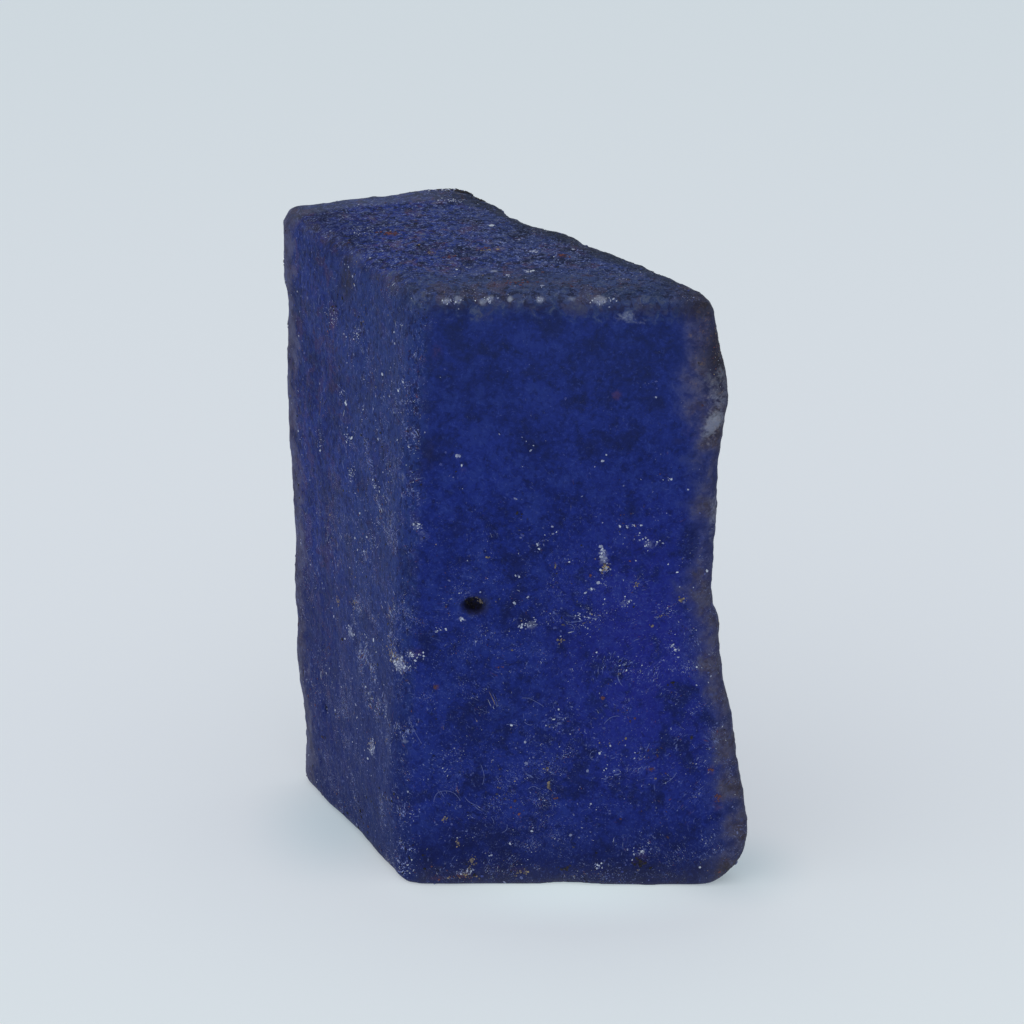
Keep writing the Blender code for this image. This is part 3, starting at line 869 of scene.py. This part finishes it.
# Heaps of grains: (place, spread, how many, radius).
PALE_HEAPS = (
    ((3.9, -7.45, 16.9), (0.16, 0.1, 0.28), 12, 0.085),
    ((4.05, -7.45, 16.1), (0.14, 0.1, 0.2), 7, 0.08),
    ((6.0, -7.45, 17.4), (0.5, 0.1, 0.28), 12, 0.06),
    ((5.3, -7.45, 18.2), (0.3, 0.1, 0.1), 6, 0.06),
    ((7.34, -7.34, 12.1), (0.12, 0.1, 0.25), 7, 0.065),
    ((0.73, -7.37, 13.3), (0.28, 0.1, 0.2), 9, 0.07),
    ((3.3, -7.35, 13.8), (0.6, 0.1, 0.45), 20, 0.055),
    ((5.0, -7.42, 14.5), (0.4, 0.1, 0.3), 12, 0.06),
    ((-2.42, -7.28, 13.5), (0.12, 0.1, 0.05), 4, 0.08),
    ((-5.26, -6.85, 11.1), (0.24, 0.4, 0.26), 40, 0.08),
    ((-4.6, -7.1, 11.6), (0.34, 0.2, 0.16), 12, 0.06),
    ((-6.66, -4.37, 5.63), (0.18, 0.3, 0.24), 30, 0.07),
    ((-7.69, -2.12, 10.54), (0.16, 0.3, 0.22), 18, 0.065),
    ((-4.45, -7.1, 18.1), (0.22, 0.2, 0.14), 9, 0.06),
    ((-3.1, 6.95, 29.3), (0.6, 0.12, 0.08), 30, 0.09),
    ((-1.06, 1.79, 29.25), (0.02, 0.02, 0.02), 2, 0.16),
    ((0.9, -1.44, 29.2), (0.16, 0.12, 0.05), 5, 0.08),
    ((0.6, -4.1, 29.2), (0.2, 0.1, 0.05), 6, 0.09),
    ((-0.3, -4.6, 29.2), (0.16, 0.1, 0.05), 4, 0.08),
    ((3.85, -7.45, 1.0), (0.14, 0.1, 0.2), 8, 0.07),
    ((5.79, -7.42, 1.75), (0.22, 0.1, 0.2), 9, 0.065),
    ((-9.99, 3.06, 24.51), (0.02, 0.02, 0.02), 1, 0.09),
    ((-8.4, -0.06, 25.51), (0.3, 0.4, 0.4), 26, 0.036),
    ((-7.19, -2.21, 25.45), (0.1, 0.2, 0.16), 4, 0.06),
    ((-7.76, -1.36, 21.73), (0.03, 0.05, 0.08), 3, 0.12),
    ((-8.0, -0.91, 21.95), (0.2, 0.3, 0.3), 16, 0.036),
    ((-9.11, 0.86, 19.09), (0.3, 0.4, 0.6), 20, 0.034),
    ((-7.63, -1.7, 20.03), (0.22, 0.3, 0.22), 16, 0.045),
    ((-6.23, -4.23, 21.11), (0.04, 0.05, 0.06), 3, 0.075),
    ((-7.55, -2.1, 18.41), (0.16, 0.3, 0.5), 24, 0.04),
    ((-6.3, -4.4, 18.77), (0.2, 0.3, 0.24), 10, 0.055),
    ((-6.51, -4.14, 16.08), (0.3, 0.4, 0.6), 26, 0.036),
    ((-7.4, -2.6, 12.0), (0.3, 0.4, 0.7), 30, 0.036),
    ((-5.9, -5.98, 8.03), (0.24, 0.3, 0.24), 10, 0.05),
    ((-5.52, -6.8, 7.91), (0.03, 0.03, 0.08), 2, 0.07),
    ((-7.0, 1.2, 29.2), (0.6, 0.5, 0.05), 26, 0.045),
    ((-3.07, 5.5, 29.15), (0.4, 0.2, 0.05), 14, 0.055),
    ((9.2, -7.0, 26.0), (0.3, 0.6, 1.4), 8, 0.038), ((-2.8, -7.0, 28.9), (0.3, 0.1, 0.12), 9, 0.06),
    ((-1.25, -6.95, 28.92), (0.26, 0.1, 0.12), 10, 0.06),
    ((1.1, -7.05, 28.98), (0.16, 0.1, 0.08), 6, 0.06),
    ((3.9, -7.1, 28.95), (0.4, 0.2, 0.1), 12, 0.06),
    ((-2.3, -7.44, 0.75), (0.36, 0.1, 0.14), 14, 0.055),
    ((-2.52, -7.17, 21.49), (0.08, 0.05, 0.03), 3, 0.11),
    ((0.0, -7.29, 19.45), (0.06, 0.05, 0.06), 3, 0.08),
    ((4.9, -7.41, 20.13), (0.02, 0.02, 0.02), 1, 0.09),
    ((7.01, -7.48, 20.45), (0.16, 0.05, 0.06), 4, 0.055),
    ((7.78, -7.55, 19.99), (0.02, 0.02, 0.02), 1, 0.1),
    ((-3.42, -7.24, 12.95), (0.22, 0.05, 0.1), 6, 0.055),
    ((0.09, -7.23, 15.63), (0.1, 0.05, 0.07), 4, 0.065),
    ((0.59, -7.3, 14.62), (0.03, 0.03, 0.03), 2, 0.07),
    ((3.45, -7.39, 15.05), (0.1, 0.05, 0.03), 3, 0.075),
)
GOLD_HEAPS = (
    # The first heap, tan grains on the pit's right wall, is a painted glint where the wall catches
    # the light.
    ((-1.73, -7.1, 14.2), (0.04, 0.1, 0.06), 6, 0.12),
    ((4.1, -7.45, 16.2), (0.16, 0.1, 0.2), 8, 0.08),
    ((7.49, -7.4, 14.51), (0.08, 0.1, 0.06), 5, 0.08),
    ((6.7, -7.4, 13.72), (0.12, 0.1, 0.05), 4, 0.07),
    ((-5.6, -6.4, 11.3), (0.24, 0.4, 0.26), 22, 0.07),
    ((-6.7, -4.3, 5.8), (0.22, 0.3, 0.2), 12, 0.06),
    ((1.52, -7.41, 5.14), (0.08, 0.1, 0.08), 4, 0.095),
    ((1.43, -7.43, 6.02), (0.06, 0.1, 0.05), 3, 0.08),
    ((2.09, -7.35, 12.44), (0.1, 0.1, 0.1), 4, 0.065),
    ((-1.23, -7.22, 16.56), (0.08, 0.1, 0.03), 2, 0.07),
    ((-2.0, -7.42, 1.3), (0.12, 0.1, 0.26), 12, 0.08),
    ((-2.64, -7.32, 2.16), (0.1, 0.1, 0.12), 5, 0.07),
    ((-3.24, -7.33, 3.35), (0.08, 0.1, 0.12), 5, 0.065),
    ((0.23, -7.42, 0.7), (0.3, 0.1, 0.1), 8, 0.075),
    ((-2.3, -7.42, 0.5), (0.6, 0.1, 0.12), 16, 0.05),
    ((9.2, -6.9, 26.0), (0.3, 0.6, 1.4), 16, 0.045), ((9.6, -6.6, 24.6), (0.2, 0.6, 0.6), 8, 0.045),
    ((-3.81, -1.6, 29.2), (0.2, 0.16, 0.05), 7, 0.07),
    ((-1.36, -1.33, 29.2), (0.3, 0.12, 0.05), 7, 0.08),
    ((-8.28, -0.74, 11.51), (0.14, 0.2, 0.14), 7, 0.06),
    ((-7.48, -2.41, 12.04), (0.12, 0.2, 0.2), 7, 0.06),
    ((5.49, -7.41, 15.31), (0.1, 0.1, 0.12), 6, 0.06),
    ((6.23, -7.37, 13.21), (0.08, 0.1, 0.05), 3, 0.065),
    ((1.81, -7.36, 16.18), (0.12, 0.1, 0.06), 3, 0.055),
)
RED_HEAPS = (
    ((-5.63, 0.84, 29.2), (0.35, 0.14, 0.05), 12, 0.1),
    ((-2.9, -2.15, 29.2), (0.2, 0.16, 0.05), 6, 0.07),
    ((2.12, -2.06, 29.2), (0.18, 0.14, 0.05), 7, 0.11),
    ((-1.4, -1.2, 29.2), (0.4, 0.2, 0.05), 8, 0.08),
    ((0.3, -5.5, 29.15), (0.9, 0.3, 0.06), 18, 0.08),
    ((-0.69, -7.36, 11.15), (0.12, 0.1, 0.03), 3, 0.06),
    ((4.07, -7.31, 9.56), (0.07, 0.1, 0.05), 3, 0.08),
    ((3.4, -7.45, 15.72), (0.06, 0.1, 0.05), 3, 0.065),
    ((6.26, -7.31, 5.96), (0.12, 0.1, 0.06), 6, 0.075),
    ((9.03, -7.29, 5.9), (0.08, 0.1, 0.06), 3, 0.08),
    ((9.37, -7.33, 4.49), (0.12, 0.1, 0.14), 7, 0.085),
    ((1.89, -7.37, 4.5), (0.08, 0.1, 0.04), 3, 0.065),
    ((-3.62, -7.32, 10.12), (0.08, 0.1, 0.1), 4, 0.08),
    ((-2.4, -7.42, 0.5), (0.6, 0.1, 0.1), 8, 0.055),
    ((9.2, -6.9, 26.4), (0.3, 0.6, 1.2), 12, 0.045), ((-8.5, 0.09, 25.0), (0.2, 0.4, 0.8), 5, 0.06),
)
DARK_HEAPS = (
    ((-1.95, -7.0, 14.23), (0.22, 0.1, 0.12), 12, 0.09),
    ((7.2, -7.36, 10.3), (0.07, 0.1, 0.05), 3, 0.09),
    ((8.1, -7.35, 7.6), (0.05, 0.1, 0.05), 2, 0.08),
    ((-2.4, 6.9, 29.25), (0.7, 0.15, 0.08), 40, 0.12),
    ((-1.3, 6.2, 29.25), (0.4, 0.25, 0.08), 26, 0.11),
    ((1.84, -3.33, 29.1), (0.06, 0.06, 0.03), 4, 0.11),
    ((5.79, -7.42, 1.2), (0.24, 0.1, 0.16), 8, 0.09),
    ((2.3, -7.42, 0.9), (0.24, 0.1, 0.1), 8, 0.085),
)
# The grains: (piece, mineral, colour of a faint and of a strong grain, how thickly the front, left,
# crown, rear and foot are strewn, how many, smallest and largest radius, heaps).
GRAINS = (
    ("pale_grains", "pale_mineral", (58, 70, 142), (210, 217, 232),
     (1.0, 0.7, 0.8, 0.45, 0.6), 1900, 0.024, 0.085, PALE_HEAPS),
    ("gold_grains", "tan_mineral", (62, 60, 80), (158, 142, 116),
     (0.5, 0.5, 1.2, 0.45, 2.0), 300, 0.03, 0.07, GOLD_HEAPS),
    ("red_grains", "rust_red_mineral", (58, 40, 66), (116, 68, 68),
     (0.6, 0.6, 1.6, 0.55, 2.0), 420, 0.03, 0.085, RED_HEAPS),
    ("dark_grains", "dark_mineral", (16, 13, 18), (44, 40, 46),
     (0.6, 0.8, 1.2, 0.7, 2.5), 520, 0.035, 0.09, DARK_HEAPS),
)


def grain_finish(name, faint, strong):
    """Mineral that goes from the faint to the strong colour with the tone of each grain."""
    mineral = Finish(name, IOR=1.5, Specular_IOR_Level=0.3, Roughness=0.5)
    tint = mineral.mix(mineral.painted("tone"), colour(*faint), colour(*strong))
    mineral.feed("Base Color", tint)
    return mineral.material


def lay_grains(ground):
    random = np.random.default_rng(STREWING_SEED)
    for name, mineral, faint, strong, thickness, count, smallest, largest, heaps in GRAINS:
        density = density_of(ground, *thickness)
        spots = strewn(ground, random, density, count, smallest, largest)
        spots += heaped(random, heaps)
        make_grains(name, grain_finish(mineral, faint, strong), ground, spots)


# ---- dust fibres
FIBRE_SEED = 41
FIBRE_RADIUS = 0.01
FIBRE_STEP = 0.06
FIBRE_WAVER = 60.0  # degrees for each millimetre
# Fibres in full view: (start, heading in degrees, length, bend in degrees for each millimetre).
LONG_FIBRES = (
    ((-3.74, -7.4, 4.3), 95.0, 1.9, -95.0),
    ((-2.3, -7.4, 4.55), -60.0, 0.8, 70.0),
    ((4.1, -7.4, 8.3), 60.0, 0.9, -70.0),
    ((-1.5, -7.4, 5.2), 75.0, 1.1, 25.0),
    ((-0.4, -7.4, 8.25), 15.0, 0.6, -60.0),
    ((6.0, -7.4, 6.9), 55.0, 0.5, 60.0),
    ((0.3, -7.4, 9.6), 8.0, 1.2, -20.0),
    ((-4.9, -7.3, 8.6), -80.0, 1.5, 20.0),
    ((6.8, -7.4, 5.2), 20.0, 1.0, 70.0),
    ((-3.9, 7.1, 29.0), 20.0, 1.2, 90.0),
    ((-3.2, 6.9, 29.1), -30.0, 1.0, -120.0),
    ((-2.4, 6.8, 29.1), 60.0, 1.1, 140.0),
    ((-2.0, 6.6, 29.1), 10.0, 0.9, -90.0),
)
STRAY_FIBRES = 44
STRAY_LENGTHS = (0.22, 0.75)
STRAY_BENDS = (60.0, 260.0)
STRAY_PLACES = (1.0, 0.45, 0.35, 0.4)  # how thickly the front, left, crown and rear are strewn


def fibre_path(ground, start, heading, length, bend, random):
    """A thread that lies on the skin: it starts at a heading from level and bends as it goes."""
    place, facing = ground.nearest(start)
    level = Vector((0.0, 0.0, 1.0)).cross(facing)
    if level.length < 0.3:
        level = Vector((1.0, 0.0, 0.0))
    path, angle = [], math.radians(heading)
    for _ in range(max(4, int(length / FIBRE_STEP))):
        path.append(place + facing * FIBRE_RADIUS * 1.2)
        level = (level - facing * level.dot(facing)).normalized()
        up = facing.cross(level)
        ahead = place + (level * math.cos(angle) + up * math.sin(angle)) * FIBRE_STEP
        place, facing = ground.nearest(ahead)
        angle += math.radians(bend + random.normal(0.0, FIBRE_WAVER)) * FIBRE_STEP
    return path


def lay_fibres(ground):
    random = np.random.default_rng(FIBRE_SEED)
    paths = [fibre_path(ground, *fibre, random) for fibre in LONG_FIBRES]
    for start in ground.pick(random, density_of(ground, *STRAY_PLACES), STRAY_FIBRES):
        length = random.uniform(*STRAY_LENGTHS)
        bend = random.choice((-1.0, 1.0)) * random.uniform(*STRAY_BENDS)
        heading = random.uniform(-180.0, 180.0)
        paths.append(fibre_path(ground, start, heading, length, bend, random))
    threads = bpy.data.curves.new("dust_fibres", "CURVE")
    threads.dimensions = "3D"
    threads.bevel_depth = FIBRE_RADIUS * MM
    threads.bevel_resolution = 1
    threads.use_fill_caps = True
    for path in paths:
        spline = threads.splines.new("POLY")
        spline.points.add(len(path) - 1)
        for point, place in zip(spline.points, path):
            point.co = (*(place * MM), 1.0)
    fibres = add_object("dust_fibres", threads)
    work_on(fibres)
    bpy.ops.object.convert(target="MESH")
    lint = Finish(
        "pale_lint", Roughness=0.8, Specular_IOR_Level=0.2, Base_Color=colour(112, 124, 182)
    )
    fibres.data.materials.append(lint.material)
    belongs(fibres)


# ---- floor, light and camera
PAPER_SIZE = 6.0  # metres
PAPER_GAP = 0.005
PAPER = (0.62, 0.66, 0.69, 1.0)
PAPER_NEAR = (0.315, 0.349, 0.348, 1.0)
PAPER_MIDDLE = (0.293, 0.305, 0.323, 1.0)
PAPER_FAR = (0.239, 0.269, 0.278, 1.0)
# Painted light and shadow on the paper, close to the stone: light in front of the foot and soft
# shadows beside it, left and right: (centre, radii, glow).
PAPER_LIGHT_AND_SHADOWS = (
    ((2.6, -7.5, 0.0), (10.0, 5.0, 1.0), (0.395, 0.455, 0.46, 1.0)),
    ((-8.6, -1.0, 0.0), (5.0, 8.0, 1.0), (0.205, 0.255, 0.275, 1.0)),
    ((10.5, -5.6, 0.0), (4.0, 5.0, 1.0), (0.2, 0.245, 0.265, 1.0)),
)
SKY = (0.645, 0.695, 0.755, 1.0)
SKY_STRENGTH = 0.45  # as light; to the camera the sky shows at full strength
LIGHT_FROM = (-0.28, -0.3, 0.9)
LIGHT_STRENGTH = 1.1
LIGHT_SPREAD = math.radians(110)
AIM = Vector((-0.14, -0.41, 15.89))
VIEW_DISTANCE = 250.0
VIEW_ELEVATION = math.radians(23.0)
LENS = 188.96
SENSOR = 36.0


def make_floor():
    """A sheet of pale paper that glows, so that it looks as evenly lit as in a light tent. Its glow
    carries painted light: brighter in front, dimmer farther back, with painted light and shadow
    close to the stone.
    """
    bpy.ops.object.select_all(action="DESELECT")
    bpy.ops.mesh.primitive_plane_add(size=PAPER_SIZE, location=(0.0, 0.0, -PAPER_GAP * MM))
    floor = bpy.context.object
    floor.name = "floor"
    paper = Finish(
        "pale_paper", Roughness=0.9, Specular_IOR_Level=0.0, Base_Color=PAPER, Emission_Strength=1.0
    )
    place = paper.millimetres()
    inwards = paper.height(place).twin("Y")
    # Painted fall-off of the light: the glow dims from the front towards the back.
    glow = paper.mix(paper.ease(inwards, -45.0, 10.0), PAPER_NEAR, PAPER_MIDDLE)
    glow = paper.mix(paper.ease(inwards, 20.0, 150.0), glow, PAPER_FAR)
    for centre, radii, tint in PAPER_LIGHT_AND_SHADOWS:
        glow = paper.mix(paper.near(place, centre, radii), glow, tint)
    paper.feed("Emission Color", glow)
    floor.data.materials.append(paper.material)


def make_light():
    """Soft, even light from above."""
    light = bpy.data.lights.new("overhead", "SUN")
    light.energy = LIGHT_STRENGTH
    light.angle = LIGHT_SPREAD
    lamp = add_object("overhead", light)
    lamp.rotation_euler = (-Vector(LIGHT_FROM)).to_track_quat("-Z", "Y").to_euler()


def make_sky():
    world = bpy.data.worlds.new("studio")
    bpy.context.scene.world = world
    world.use_nodes = True
    nodes, links = world.node_tree.nodes, world.node_tree.links
    background = nodes["Background"]
    background.inputs["Color"].default_value = SKY
    seen = nodes.new("ShaderNodeLightPath")
    level = nodes.new("ShaderNodeMapRange")
    links.new(seen.outputs["Is Camera Ray"], level.inputs["Value"])
    level.inputs["To Min"].default_value = SKY_STRENGTH
    level.inputs["To Max"].default_value = 1.0
    links.new(level.outputs["Result"], background.inputs["Strength"])


def make_camera():
    camera = add_object("camera", bpy.data.cameras.new("camera"))
    camera.data.lens = LENS
    camera.data.sensor_width = SENSOR
    camera.data.clip_start = 1.0 * MM
    back = Vector((0.0, -math.cos(VIEW_ELEVATION), math.sin(VIEW_ELEVATION)))
    camera.location = (AIM + back * VIEW_DISTANCE) * MM
    camera.rotation_euler = (math.pi / 2 - VIEW_ELEVATION, 0.0, 0.0)
    bpy.context.scene.camera = camera


# ---- put together
skin = make_skin()
skin.data.materials.append(stone_finish())
belongs(skin)
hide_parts("tanzanite")
ground = Ground(skin)
lay_grains(ground)
lay_fibres(ground)

make_floor()
make_sky()
make_light()
make_camera()
bpy.context.scene.view_settings.view_transform = "Standard"
